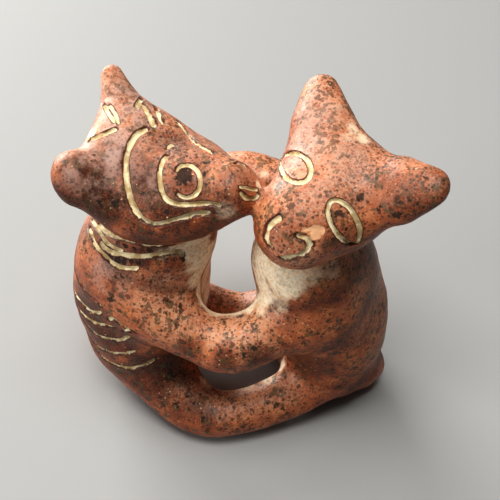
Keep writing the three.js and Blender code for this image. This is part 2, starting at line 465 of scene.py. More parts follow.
def round_torso(points):
    "Places on the skin round an upright axis, from an angle and a height. 0 degrees is behind, 90 is near."
    points = np.asarray(points, float)
    angle = np.radians(points[:, 0])
    outward = np.stack([-np.cos(angle), -np.sin(angle), np.zeros(len(angle))], -1)
    x, y = (np.full(len(angle), centre) for centre in TORSO_AXIS)
    start = np.stack([x, y, points[:, 1]], -1)
    return fall_onto_skin(start + outward * DRUM_RADIUS, -outward)


def arc(centre, radii, start, end, tilt=0, count=14):
    "Points of an elliptic arc. Angles are in degrees."
    angle = np.radians(np.linspace(start, end, count))
    x = radii[0] * np.cos(angle)
    y = radii[1] * np.sin(angle)
    lean = math.radians(tilt)
    across = centre[0] + x * math.cos(lean) - y * math.sin(lean)
    up = centre[1] + x * math.sin(lean) + y * math.cos(lean)
    return np.stack([across, up], -1)


def to_far_side_of_head(points):
    "Mirrors places of the left head in the plane through the middle of its face."
    crown, muzzle = seen(FACE_MIDDLE)
    along = unit(muzzle - crown)
    across = unit(BACKWARDS - along * (BACKWARDS @ along))
    off = (points - crown) @ across
    mirrored = settle(points - 2 * off[:, None] * across)
    return mirrored[slope_at(mirrored) @ BACKWARDS < 0]


def to_far_side_of_torso(points):
    other = points.copy()
    other[:, 1] = 2 * TORSO_AXIS[1] - other[:, 1]
    return settle(other)


# Places right and up of the picture's middle, width and depth of each line, in millimetres.
HEAD_LINES = {
    "bridle": ([(-25, 31), (-29, 28.2), (-31, 22.5), (-30.5, 15), (-28.5, 9.5), (-25.5, 7), (-22.5, 6.5),
                (-14, 8.7), (-9.2, 9)], 1.6, 1.1),
    "eye socket": ([(-20.3, 24.5), (-22, 21.8), (-22.6, 19), (-22.3, 15.5), (-21.3, 13), (-19, 11.6),
                    (-16, 11.3), (-9.5, 11.5), (-6.7, 10.2)], 1.35, 1.0),
    "eye": (arc((-15.9, 17.1), (3.5, 4.1), 150, -145), 1.2, 0.85),
}
CROWN_LINES = {
    "eyebrow": ([(-21, 25.2), (-19.8, 26.4), (-18.3, 26.2)], 0.9, 0.5),
    "brow": ([(-27.4, 37.2), (-25.4, 34), (-23.4, 30.5)], 1.9, 1.1),
    "second brow": ([(-23.6, 35.6), (-22.6, 33.3), (-21.2, 31.2)], 1.5, 1.1),
    "crown": ([(-19.3, 33), (-17, 30.6), (-14.2, 27.6), (-11.4, 25.6), (-8.7, 24)], 1.3, 0.9),
    "ear notch": ([(-28.6, 35.3), (-27.8, 36.8), (-26.8, 38.2)], 1.5, 1.1),
    "ear leaf": ([(-36.8, 36.8), (-35.3, 34), (-33.6, 31.5)], 0.9, 0.7),
    "ear leaf side": ([(-35.6, 36.6), (-33.8, 34.2), (-32.6, 31)], 0.9, 0.7),
    "ear fold": ([(-32.6, 30.6), (-36.5, 28.9), (-39.4, 27.8), (-41, 26.9)], 1.3, 0.9),
    "far nostril": ([(-4.3, 21.5), (-2.3, 21.6), (-0.3, 20.6)], 1.2, 0.8),
    "near nostril lid": ([(-3.5, 16), (0.5, 15.2), (2.6, 14.9)], 0.7, 0.5),
    "near nostril": ([(-3, 15.3), (-1, 13), (1.2, 12.9), (2.6, 14.6)], 1.1, 0.8),
}
RIGHT_LINES = {
    "far eye": (arc((11.3, 20.6), (4.2, 3.4), 0, 360, tilt=-38, count=22), 1.3, 0.85),
    "near eye": (arc((23.5, 7), (6.0, 3.1), 0, 360, tilt=-60, count=26), 1.3, 0.95),
    "left nostril": ([(8.2, 8.3), (6.2, 7.5), (4.4, 5.6), (4.1, 3.2), (4.7, 1.2), (6, -0.2)], 2.0, 1.3),
    "right nostril": ([(6.8, -2.1), (10, -1.8), (13.2, -1), (14.9, 0.8), (14, 2.9), (10.8, 3.8)], 1.7, 1.2),
}
COLLAR_LINES = {
    "collar 1": ([(-40.5, 6.2), (-39, 1.8), (-36.8, -1), (-34, -3.5), (-31.2, -4.5),
                  (-27.2, -4.5)], 1.3, 1.0),
    "collar 2": ([(-38, 2.5), (-36, 0.2), (-33, -1), (-26.5, -1.6), (-17.8, -0.5),
                  (-16.8, -2.5)], 1.5, 1.0),
    "collar 3": ([(-39.8, 7.8), (-38, 5.2), (-36, 2.2), (-34, 0.7), (-31.2, -0.5)], 1.0, 0.7),
    "collar 4": ([(-38.3, 7), (-35.8, 4.5), (-32.2, 3), (-28.4, 1.6), (-24.5, 1), (-17.8, 1.6)], 1.2, 0.9),
}
FLANK_LINES = {
    "armpit": ([(-35.8, -17.8), (-34.5, -17.3), (-32.8, -18.5), (-30.8, -19.8), (-27.8, -21.3)], 1.4, 1.0),
    "armpit hook": ([(-32.2, -20.5), (-30.8, -20.3), (-29.2, -21.4)], 1.0, 0.7),
    "shoulder tick": ([(-38.2, -13.1), (-36.8, -14.8)], 0.9, 0.5),
}
# Ribs round the torso: angle in degrees and height.
RIBS = [
    [(18, 46), (40, 46.5), (52, 46), (63, 46)],
    [(14, 36.5), (30, 37), (46, 38.5), (57, 39), (68, 42)],
    [(16, 34), (33, 34), (46, 34.5), (61, 35.5), (71, 37), (80, 38.5)],
    [(20, 31.5), (38, 31), (52, 31), (62, 31), (73, 32), (82, 33), (89, 36.5)],
    [(24, 25), (45, 25), (59, 25), (71, 26), (81, 27), (93, 29)],
    [(30, 22), (53, 21.5), (67, 20.5), (84, 21), (95, 22.5), (107, 25)],
]
RIB_WIDTH = 1.4
RIB_DEPTH = 0.95
LINE_STEPS = 6  # straight pieces between two places of a line
FAR_DEPTH = 0.85  # the hidden side is cut a little shallower

# How each group of lines is repeated on the hidden side.
MIRRORS = [
    (HEAD_LINES, to_far_side_of_head),
    (CROWN_LINES, None),
    (RIGHT_LINES, None),
    (COLLAR_LINES, to_far_side_of_torso),
    (FLANK_LINES, to_far_side_of_torso),
]


def cut_lines():
    "All the cut lines, each as places on the skin, a width and a depth."
    lines = []
    for group, mirror in MIRRORS:
        for places, width, depth in group.values():
            path = seen(smooth_curve(places, LINE_STEPS))
            lines.append((path, width, depth))
            if mirror:
                lines.append((mirror(path), width, depth * FAR_DEPTH))
    for places in RIBS:
        path = round_torso(smooth_curve(places, LINE_STEPS))
        lines.append((path, RIB_WIDTH, RIB_DEPTH))
        lines.append((to_far_side_of_torso(path), RIB_WIDTH, RIB_DEPTH * FAR_DEPTH))
    return [line for line in lines if len(line[0]) > 1]


def near_lines(lines):
    "Says of points whether a cut line passes close by."
    size = np.array([math.ceil((high - low) / FINE_REACH) + 3 for low, high in zip(LOW, HIGH)])
    marked = np.zeros(size, bool)
    for path, _, _ in lines:
        quarters = [path[:-1] + (path[1:] - path[:-1]) * t for t in (0, 0.25, 0.5, 0.75)]
        dense = np.concatenate([*quarters, path[-1:]])
        cells = np.floor((dense - LOW) / FINE_REACH + 0.5).astype(int)
        for offset in itertools.product((-1, 0), repeat=3):
            i, j, k = np.clip(cells + offset + 1, 0, size - 1).T
            marked[i, j, k] = True

    def fine_at(points):
        cells = np.floor((points - LOW) / FINE_REACH).astype(int) + 1
        i, j, k = np.clip(cells, 0, size - 1).T
        return marked[i, j, k]

    return fine_at


# Hand-modelled unevenness

LATTICE = 32


def hills(p, size, seed):
    "Smooth random heights from -1 to 1, for lumps of a given size."
    heights = np.random.default_rng(seed).uniform(-1, 1, (LATTICE,) * 3)
    q = p / size
    base = np.floor(q).astype(int)
    t = q - base
    t = t * t * (3 - 2 * t)
    total = np.zeros(len(p))
    for corner in itertools.product((0, 1), repeat=3):
        weight = np.where(corner, t, 1 - t).prod(-1)
        i, j, k = ((base + corner) % LATTICE).T
        total += weight * heights[i, j, k]
    return total


def ease(value, low, high):
    "0 below low, 1 above high and smooth between them."
    t = np.clip((value - low) / (high - low), 0, 1)
    return t * t * (3 - 2 * t)


LIP = 0.1  # height of the burr beside a cut
LIP_OFF = 0.12  # the top of the burr lies this far outside a cut
LIP_WIDTH = 0.22
ROUNDING = 0.65  # power that rounds the bottom of a cut
TAPER = 1.6  # a cut fades out over this length at its ends
STAIN_AND_SHADE = 0.45  # the stain with painted shade beside a cut reaches this far
DEPOSIT = 0.3  # the pale deposit is thick over this share of a cut's width
CUT_REACH = 0.8  # beyond its edge a cut changes nothing further than this away

# A cut's width and depth waver over this length, by these shares.
WAVER = 2.5
WAVER_SEED = 11
WIDTH_WAVER = 0.18
DEPTH_WAVER = 0.2

# The deposit is thinner in patches: how wide they are, their edges and how much is gone.
WORN = 2.1
WORN_SEED = 12
WORN_EDGES = (0.05, 0.5)
WORN_SHARE = 0.25


def off_path(p, path):
    "Distance to a path of straight pieces, and how far along it the closest place is."
    best = np.full(len(p), np.inf)
    along = np.zeros(len(p))
    walked = 0.0
    for a, b in zip(path, path[1:]):
        span = b - a
        length = float(np.linalg.norm(span))
        if length < TINY:
            continue
        t = np.clip((p - a) @ span / length**2, 0, 1)
        d = length_of(p - a - t[:, None] * span)
        closer = d < best
        best[closer] = d[closer]
        along[closer] = walked + t[closer] * length
        walked += length
    return best, along, walked


def cut(skin, lines):
    "Depth of all the cuts at each place of the skin, and the deposit that is left in them."
    height = np.zeros(len(skin))
    deposit = np.zeros(len(skin))
    waver = hills(skin, WAVER, WAVER_SEED)
    kept = 1 - WORN_SHARE * ease(hills(skin, WORN, WORN_SEED), *WORN_EDGES)
    for path, width, depth in lines:
        reach = width / 2 + CUT_REACH
        inside = ((skin > path.min(0) - reach) & (skin < path.max(0) + reach)).all(1)
        chosen = np.flatnonzero(inside)
        if not len(chosen):
            continue
        off, along, length = off_path(skin[chosen], path.astype(float))
        closed = np.linalg.norm(path[0] - path[-1]) < width
        fade = 1.0 if closed else ease(np.minimum(along, length - along), -TAPER / 3, TAPER)
        half = width / 2 * (1 + WIDTH_WAVER * waver[chosen])
        profile = np.clip(1 - (off / half) ** 2, 0, 1) ** ROUNDING
        burr = np.exp(-(((off - half - LIP_OFF) / LIP_WIDTH) ** 2))
        dug = -depth * fade * profile * (1 + DEPTH_WAVER * waver[chosen])
        height[chosen] = np.minimum(height[chosen], dug) + LIP * fade * burr * (profile <= 0)
        filled = ease(off, half + STAIN_AND_SHADE, half * DEPOSIT)
        deposit[chosen] = np.maximum(deposit[chosen], fade * filled * kept[chosen])
    return height, deposit


# Relief of the finished surface

# Places are right and up of the picture's middle. A dome has a place, a radius and a height.
DOMES = [
    ((23.5, 7), 2.6, 0.3),
    ((11.3, 20.6), 2.6, 0.25),
    ((-15.9, 17.1), 2.4, 0.3),
    ((13.5, 1.5), 1.6, 0.25),
]
DIMPLE = ((8, -34), 0.7, -0.5)
ROUND_TOP = 0.2  # share of a dome's radius that is level
CHIP = ((16, 4.3), 2.5, 0.5)  # place, radius and depth
CHIP_SHAPE = (0.75, 1, 1.3)  # a chip is wider along X and lower along Z
CHIP_EDGES = (1.0, 0.7)
CHIP_GRAIN = 1.4
CHIP_SEED = 5
CHIP_RAGGED = 0.35
CHIP_UNEVEN = 0.7
LUMPS = [(9, 0.35, 1), (4.5, 0.14, 2), (1.6, 0.035, 3)]  # size, height and random seed
FOOT = 1.5  # the surface is left as it is this close to the table


def relief(skin, lines):
    "Height of the finished surface over the skin, the deposit in its cuts and its chipped places."
    height, deposit = cut(skin, lines)
    for size, rise, seed in LUMPS:
        height += rise * hills(skin, size, seed)
    for place, radius, rise in [*DOMES, DIMPLE]:
        middle = seen([place])[0]
        height += rise * ease(length_of(skin - middle) / radius, 1, ROUND_TOP)
    place, radius, depth = CHIP
    rough = hills(skin, CHIP_GRAIN, CHIP_SEED)
    off = length_of((skin - seen([place])[0]) * CHIP_SHAPE) / radius
    chipped = ease(off + CHIP_RAGGED * rough, *CHIP_EDGES)
    height -= chipped * depth * (1 + CHIP_UNEVEN * rough)
    return height * ease(skin[:, 2], 0, FOOT), deposit, chipped


# Where the clay's colour changes: place, radius and strength. A place has two numbers, right and up of
# the picture's middle, where the camera sees it, or else x, y and z in the part's own frame.
ZONES = {
    "bare": [
        # the left chest
        ((-13, 1), 8, 1), ((-11, -2), 9, 1), ((-10.8, -6), 8, 1), ((-10.4, -10), 7, 1), ((-18, 0), 4, 0.6),
        ((-22, -1), 3, 0.45), ((-13, -6), 6, 1), ((-12.5, -10), 5, 0.9), ((-11.5, -13), 4, 0.8),
        # the rim of the arms between the chests
        ((-11.7, -9, 43), 4.6, 1), ((-6.7, -9.6, 42.2), 4.4, 1), ((-1.7, -9.8, 41.8), 4.4, 1),
        ((3, -9, 42.6), 4.8, 1), ((7, -7, 44.4), 6, 0.9),
        # the right chest
        ((2, -3), 9, 1), ((5, -6), 9, 1), ((3, -10), 8, 1), ((8, -8), 8, 0.9), ((11, -7), 7, 0.75),
        ((15, -6.5), 6, 0.5), ((20, -5.5), 5, 0.4), ((7, -13), 6, 0.5),
        # the rim of the legs
        ((-11, -33), 4, 0.5), ((-7, -34.8), 4, 0.6), ((-1, -34.3), 4.5, 0.6), ((4.5, -32.3), 4.5, 0.65),
        ((8.3, -29), 4, 0.65),
        # crown of the right head
        ((25.6, 30.4), 2.6, 0.5), ((28.6, 27.8), 3, 0.6), ((24, 28), 2.4, 0.4),
        # muzzle, crown edge and chin of the left head
        ((2.2, 16.2), 1.8, 0.8), ((3.2, 19), 1.6, 0.8), ((-39.5, 29.2), 4, 0.6), ((-6, 9.5), 5, 0.4),
        # inside the ring
        ((-6, 4, 30), 9, 0.6), ((8, 4, 34), 9, 0.6), ((-6, 2, 18), 9, 0.6), ((-8, 3, 55), 9, 0.8),
        ((6, 2, 56), 8, 0.8),
    ],
    # painted shade: slip made darker and browner where the pair lies in shade, on the flanks and laps,
    # under the chins and snouts, on the near ear, the low side of the arms and the collar bands
    "painted_shade": [
        # left flank and lap, and the far flank
        ((-34, -8, 33), 17, 1), ((-24, -16, 20), 14, 0.9), ((-13, -22, 9), 11, 0.6),
        ((-14, -14, 30), 12, 1), ((-30, 12, 35), 17, 0.8),
        # right lap, seat and neck
        ((18, -12, 26), 11, 0.8), ((26, 0, 18), 15, 0.6), ((16, -24, 72), 7, 0.4), ((22, -6), 9, 0.3),
        # under the left chin and snout
        ((-22, -17, 70), 9, 1), ((-32, -14, 66), 8, 1), ((-6, -12, 77), 7, 0.6), ((-20, 8), 8, 0.8),
        ((-8, 9), 7, 0.6), ((-15, 3), 8, 0.7),
        # the left near ear
        ((-36, -14, 77), 9, 0.8), ((-44, 14), 10, 0.9), ((-38, 13), 9, 0.9), ((-44, 20), 8, 0.7),
        ((-46, 13), 8, 1), ((-40, 16), 11, 1), ((-33, 22), 8, 0.8),
        # the left cheek, brow and snout
        ((-26, 17.5), 7, 0.6), ((-27, 17), 9, 0.9), ((-29, 12), 7, 0.7), ((-16, 17), 9, 0.65),
        ((-5, 15), 8, 0.5), ((-12, 22), 8, 0.4), ((-20, 27), 8, 0.4),
        # the low side of the near arms
        ((-6, -27.2), 5, 0.9), ((2, -26.8), 5, 0.8), ((-15, -25), 5, 0.7),
        # the right ear and muzzle
        ((38, 14), 11, 0.55), ((46, 18), 8, 0.5), ((10, 4), 8, 0.3),
        # the bands of the collar
        ((-34, -1), 5, 1), ((-28, -1.5), 5, 1), ((-23, 0), 4, 0.9),
    ],
    # painted light: slip made paler and more orange where the light falls most, on the tops of the near
    # arms, the right head and the left crown
    "painted_light": [
        # near arms and legs
        ((0, -18, 44), 14, 0.9), ((-15, -18, 48), 12, 0.9), ((-20, -11), 9, 0.8), ((-24, -12), 8, 0.7),
        ((-27, -8), 7, 0.5), ((0, -20, 4), 14, 0.2),
        # the right head and the left crown
        ((13, -19, 79), 9, 0.8), ((42, -12, 94), 9, 0.3), ((33, -9, 93), 9, 0.5), ((15, 14, 96), 9, 0.5),
        ((-15, -12, 88), 8, 0.4),
    ],
    "bloom": [
        # the left crown and ears
        ((-31, 10, 90), 13, 1), ((-33, 1, 88), 12, 1), ((-34, -9, 86), 9, 0.7), ((-34, 18, 93), 9, 0.7),
        ((-22, -9, 86), 6, 0.6),
        # the right crown and the left shoulder
        ((14, 2, 92), 10, 0.8), ((16, 9, 93), 9, 0.7), ((24, 24), 8, 0.6), ((-32, -14, 55), 9, 0.6),
    ],
    "brushed": [
        ((31, -3, 52), 17, 1), ((34, -6, 36), 15, 0.8), ((22, -10, 62), 10, 0.8), ((34, -3, 20), 10, 0.7),
    ],
    "soot": [
        # the left pupil
        ((-16.5, 18.7), 3.3, 1),
        # the right head
        ((27.5, 13.2), 1.9, 0.75), ((37.3, 11.9), 1.6, 0.9), ((36.9, 8.8), 1.6, 0.85),
        ((32.1, 10.4), 1.4, 0.7), ((44, 17), 1.5, 0.6), ((22.2, 9.2), 1.4, 1), ((23.9, 5.6), 1.2, 0.9),
        ((13.2, 3), 1, 0.8),
        # the left head
        ((-27.4, 14.3), 2.2, 0.75), ((-37.7, 11.7), 1.8, 0.7), ((-33.8, 11.9), 1.8, 0.7),
        ((-16.4, 23.9), 1.6, 0.8), ((-11.2, 19.1), 1.4, 0.7), ((-20.4, 29.5), 1.4, 0.7),
        ((-39.4, 22.5), 2.4, 0.55), ((-11, 22), 1.3, 0.8), ((-21, 9.5), 1.4, 0.8), ((-36, 18), 2.2, 0.5),
        ((-33, 11), 2.2, 0.6),
        # the left leg and flank
        ((-19.6, -31.5), 2.5, 0.65), ((-18, -38.8), 2, 0.7), ((-15.7, -36.5), 1.8, 0.7),
        ((-11.5, -42.6), 1.6, 0.7), ((-30.5, -20.7), 1.2, 0.9),
        # the left shoulder and the arms
        ((-34.5, -12), 2.8, 0.58), ((-34.1, -6.6), 2.6, 0.58), ((-31.4, -7), 2.4, 0.55),
        ((-17.3, -14.1), 1.4, 0.7), ((-7, -25.4), 1.3, 0.8), ((-1.6, -26.2), 1.5, 0.8),
        ((1.1, -24.6), 1.5, 0.7),
        # the upper band of the collar
        ((-32.8, 1.8), 1.5, 0.7), ((-31, 1.1), 1.5, 0.8), ((-29, 0.5), 1.5, 0.8), ((-27, 0.2), 1.4, 0.7),
        ((-25, 0), 1.4, 0.7),
        # the lower band of the collar
        ((-34.8, -1.6), 1.5, 0.8), ((-33, -2.4), 1.5, 0.9), ((-31.3, -2.8), 1.5, 0.9),
        ((-29.6, -2.9), 1.4, 0.8), ((-27.8, -2.9), 1.3, 0.7), ((-16.6, -2.6), 1.1, 0.9),
    ],
}
RAGGED = 0.2  # how far the edges of the zones wander, as a share of their radius
RAGGED_SIZE = 2.2
RAGGED_SEED = 8
ZONE_CORE = 0.3  # share of a zone's radius that has its full strength


def middles_of(balls):
    "The middles of a zone's balls, in the part's own frame."
    middles = np.array([(*place, 0)[:3] for place, _, _ in balls], float)
    sighted = [len(place) == 2 for place, _, _ in balls]
    if any(sighted):
        middles[sighted] = seen(middles[sighted, :2]) - MIDDLE
    return middles


def zone(points, balls):
    amount = np.zeros(len(points))
    wander = RAGGED * hills(points, RAGGED_SIZE, RAGGED_SEED)
    for middle, (_, radius, strength) in zip(middles_of(balls), balls):
        inside = ease(length_of(points - middle) / radius + wander, 1, ZONE_CORE)
        amount = np.maximum(amount, strength * inside)
    return amount


CREASE_DEPTH = 1.6  # thickness of the clay smoothed into a crease where the painted shade is darkest


def crease(skin):
    "How deep a place lies in a crease between two parts."
    p = skin.astype(F)
    nearest = np.min([part(p) for part, _ in PARTS], axis=0)
    return np.clip(nearest / CREASE_DEPTH, 0, 1)


UPWARD = (0.1, 0.95)  # upright part of the normal where a face starts to look up, and where it fully does


def make_mesh(places, faces):
    mesh = bpy.data.meshes.new("figurine")
    mesh.vertices.add(len(places))
    mesh.vertices.foreach_set("co", (places * METRE).astype(F).ravel())
    mesh.loops.add(faces.size)
    mesh.loops.foreach_set("vertex_index", faces.astype(np.int32).ravel())
    mesh.polygons.add(len(faces))
    mesh.polygons.foreach_set("loop_start", np.arange(0, faces.size, 3, dtype=np.int32))
    mesh.update(calc_edges=True)
    mesh.shade_smooth()
    return mesh


def make_figurine():
    lines = cut_lines()
    corners, faces = closed_skin()
    fine_at = near_lines(lines)
    for _ in range(FINE_ROUNDS):
        corners, faces = split_long_edges(corners, faces, fine_at)
    outward = slope_at(corners)
    outward /= length_of(outward)[:, None] + F(TINY)
    height, deposit, chipped = relief(corners, lines)
    places = corners + outward * height[:, None]
    places[:, 2] = np.maximum(places[:, 2], 0)
    places -= MIDDLE

    mesh = make_mesh(places, faces)
    amounts = {name: zone(places, balls) for name, balls in ZONES.items()}
    # The depth of the creases is used for painted shade.
    amounts.update(deposit=deposit, chipped=chipped, crease=crease(corners))
    # How far each face looks up; the shader paints light on these faces.
    amounts["upward"] = ease(outward[:, 2], *UPWARD)
    for name, amount in amounts.items():
        layer = mesh.attributes.new(name, "FLOAT", "POINT")
        layer.data.foreach_set("value", amount.astype(F))
    figurine = bpy.data.objects.new("burnished_figurine", mesh)
    bpy.context.collection.objects.link(figurine)
    return figurine


# Materials

def tint(code):
    "A colour from its usual web code, as the shader takes it."
    parts = [int(code[n:n + 2], 16) / 255 for n in (0, 2, 4)]
    return (*(c / 12.92 if c < 0.04045 else ((c + 0.055) / 1.055) ** 2.4 for c in parts), 1)


DEEP_BROWN = tint("451c10")
RED_BROWN = tint("7e3c23")
RED_ORANGE = tint("a85a35")
ORANGE = tint("c87e50")
SPECK = tint("2b2018")
SMOKE = tint("55462f")
BARE_CLAY = tint("fff1d8")
BARE_SHADE = tint("e6c494")
DEPOSIT_PALE = tint("eddfbb")
DEPOSIT_OLIVE = tint("c0a87c")
BLOOM = tint("b8978a")
PAINTED_LIGHT_TINT = tint("d9b196")
SOOT = tint("261f18")
OCHRE = tint("b98655")
FRESH_CHIP = tint("e9b58c")
GLINT = tint("f4cfa4")
FLOOR = tint("979899")

# Roughness of the slip where it is best burnished, where it is worn, and of all that is matt.
BURNISHED = 0.34
WORN_DULL = 0.56
MATT = 0.85
FLOOR_ROUGHNESS = 0.7
SHEEN = 0.32
BUMP_STRENGTH = 0.6
BUMP_DEPTH = 0.2

# Dots: waves of raggedness across a dot, how far sizes differ, and how wide the soft edge is in cells.
SHOVES_PER_DOT = 2.2
DOT_VARIETY = 0.3
DOT_EDGE = 0.12


class Shader:
    "The nodes of a material, joined by short calls. Sizes are in millimetres."

    def __init__(self, name):
        self.material = bpy.data.materials.new(name)
        self.material.use_nodes = True
        self.tree = self.material.node_tree
        self.surface = self.tree.nodes["Principled BSDF"]
        self.place = self.node("ShaderNodeTexCoord").outputs["Object"]

    def node(self, kind, **settings):
        made = self.tree.nodes.new(kind)
        for name, value in settings.items():
            setattr(made, name, value)
        return made

    def feed(self, socket, value):
        if isinstance(value, bpy.types.NodeSocket):
            self.tree.links.new(value, socket)
        else:
            socket.default_value = value

    def math(self, operation, a, b):
        made = self.node("ShaderNodeMath", operation=operation)
        self.feed(made.inputs[0], a)
        self.feed(made.inputs[1], b)
        return made.outputs[0]

    def times(self, *values):
        product = values[0]
        for value in values[1:]:
            product = self.math("MULTIPLY", product, value)
        return product

    def stretched(self, size, turn):
        "The place on the object, turned by degrees and divided by a size along each axis."
        made = self.node("ShaderNodeMapping", vector_type="TEXTURE")
        self.feed(made.inputs["Vector"], self.place)
        made.inputs["Rotation"].default_value = [math.radians(angle) for angle in turn]
        made.inputs["Scale"].default_value = [METRE * s for s in size]
        return made.outputs[0]

    def noise(self, size, detail, rough=0.5, place=None):
        made = self.node("ShaderNodeTexNoise", noise_dimensions="3D")
        # Each size is turned its own way, so that the grids of two patterns never line up.
        turn = (size * 37, size * 23, 11)
        self.feed(made.inputs["Vector"], place or self.stretched((size,) * 3, turn))
        made.inputs["Scale"].default_value = 1.0
        made.inputs["Detail"].default_value = detail
        made.inputs["Roughness"].default_value = rough
        return made.outputs[0]

    def ease(self, value, low, high):
        made = self.node("ShaderNodeMapRange", interpolation_type="SMOOTHSTEP")
        self.feed(made.inputs["Value"], value)
        self.feed(made.inputs["From Min"], low)
        self.feed(made.inputs["From Max"], high)
        return made.outputs[0]

    def mix(self, amount, a, b):
        "Of two colours. The colours' sockets come after those for numbers and vectors."
        made = self.node("ShaderNodeMix", data_type="RGBA")
        self.feed(made.inputs[0], amount)
        self.feed(made.inputs[6], a)
        self.feed(made.inputs[7], b)
        return made.outputs[2]

    def cover(self, colour, over, amount, strength=1.0):
        "A colour with another laid over it, as far as the amount says."
        return self.mix(self.times(amount, strength), colour, over)

    def total(self, *terms):
        "The sum of patterns, each times its weight."
        result, *others = [self.times(pattern, weight) for pattern, weight in terms]
        for other in others:
            result = self.math("ADD", result, other)
        return result

    def most(self, first, *others):
        for other in others:
            first = self.math("MAXIMUM", first, other)
        return first

    def frayed(self, amount, pattern, reach):
        "An amount whose edges wander with a pattern."
        return self.math("ADD", amount, self.times(self.math("SUBTRACT", pattern, 0.5), reach))

    def away_from(self, amount, strength):
        "1 where an amount is 0, and less by the strength where it is 1."
        return self.math("SUBTRACT", 1.0, self.times(amount, strength))

    def blend(self, amount, a, b):
        made = self.node("ShaderNodeMix", data_type="FLOAT")
        self.feed(made.inputs[0], amount)
        self.feed(made.inputs[2], a)
        self.feed(made.inputs[3], b)
        return made.outputs[0]

    def amount(self, name):
        return self.node("ShaderNodeAttribute", attribute_name=name).outputs["Fac"]

    def dots(self, size, radius, share, ragged=0.0):
        "Scattered dots. share is the part of the cells that hold one, and radius is in cells."
        place = self.stretched((size,) * 3, turn=(size * 51, 17, size * 29))
        if ragged:
            shove = self.node("ShaderNodeTexNoise")
            self.feed(shove.inputs["Vector"], place)
            shove.inputs["Scale"].default_value = SHOVES_PER_DOT
            shift = self.node("ShaderNodeVectorMath", operation="MULTIPLY_ADD")
            self.feed(shift.inputs[0], shove.outputs["Color"])
            shift.inputs[1].default_value = (ragged,) * 3
            self.feed(shift.inputs[2], place)
            place = shift.outputs[0]
        cells = self.node("ShaderNodeTexVoronoi", voronoi_dimensions="3D", feature="F1")
        self.feed(cells.inputs["Vector"], place)
        cells.inputs["Scale"].default_value = 1.0
        split = self.node("ShaderNodeSeparateColor")
        self.feed(split.inputs[0], cells.outputs["Color"])
        grown = self.ease(split.outputs[0], 1 - share, 1 - share + DOT_VARIETY)
        inside = self.math("SUBTRACT", self.times(grown, radius), cells.outputs["Distance"])
        return self.ease(inside, 0.0, DOT_EDGE)


# Tones where a colour of the slip starts and where it has taken over.
SLIP_STEPS = [(0.36, 0.44, RED_BROWN), (0.42, 0.51, RED_ORANGE), (0.5, 0.62, ORANGE)]
STREAK = (0.8, 0.8, 6)  # width, thickness and length of a brush streak
STREAK_TURN = (0, 25, 0)


def slip_colour(clay, patchy, fine, grain):
    """Deep brown to orange, mottled and sandy, with painted light that pales the upward and lit faces and
    painted shade that darkens the shaded places.
    """
    painted_light = clay.amount("painted_light")
    painted_shade = clay.amount("painted_shade")
    wide = clay.noise(11, detail=3)
    # The tone is pushed towards orange by the painted light and towards brown by the painted shade.
    tone = clay.total((wide, 0.4), (patchy, 0.35), (fine, 0.25), (painted_light, 0.08), (painted_shade, -0.11))
    colour = DEEP_BROWN
    for low, high, taking_over in SLIP_STEPS:
        colour = clay.mix(clay.ease(tone, low, high), colour, taking_over)
    colour = clay.cover(colour, ORANGE, clay.ease(grain, 0.5, 0.64), strength=0.4)
    # Painted light: a pale sheen laid in patches over upward faces and lit places, kept off the painted
    # shade.
    lit_places = clay.most(painted_light, clay.times(clay.amount("upward"), 0.7))
    light_patches = clay.ease(clay.noise(0.8, detail=3, rough=0.7), 0.3, 0.66)
    painted_pale_light = clay.times(lit_places, light_patches, clay.away_from(painted_shade, strength=0.8))
    colour = clay.cover(colour, PAINTED_LIGHT_TINT, painted_pale_light, strength=0.72)
    # Painted shade: deep brown laid over the shaded places.
    return clay.cover(colour, DEEP_BROWN, clay.times(painted_shade, clay.ease(fine, 0.25, 0.65)), strength=0.85)


def marks_on_slip(clay, colour, patchy):
    """Upright ochre brush streaks on the right back, a greyish bloom on the crowns and painted shade in the
    creases.
    """
    streaks = clay.noise(1, detail=3, rough=0.65, place=clay.stretched(STREAK, STREAK_TURN))
    brushed = clay.times(clay.amount("brushed"), clay.ease(streaks, 0.46, 0.62))
    colour = clay.cover(colour, OCHRE, brushed, strength=0.7)
    bloom = clay.times(clay.amount("bloom"), clay.ease(patchy, 0.36, 0.58))
    colour = clay.cover(colour, BLOOM, bloom, strength=0.7)
    # Painted shade: deep brown in the creases between parts.
    return clay.cover(colour, DEEP_BROWN, clay.ease(clay.amount("crease"), 0.5, 1.0), strength=0.5)


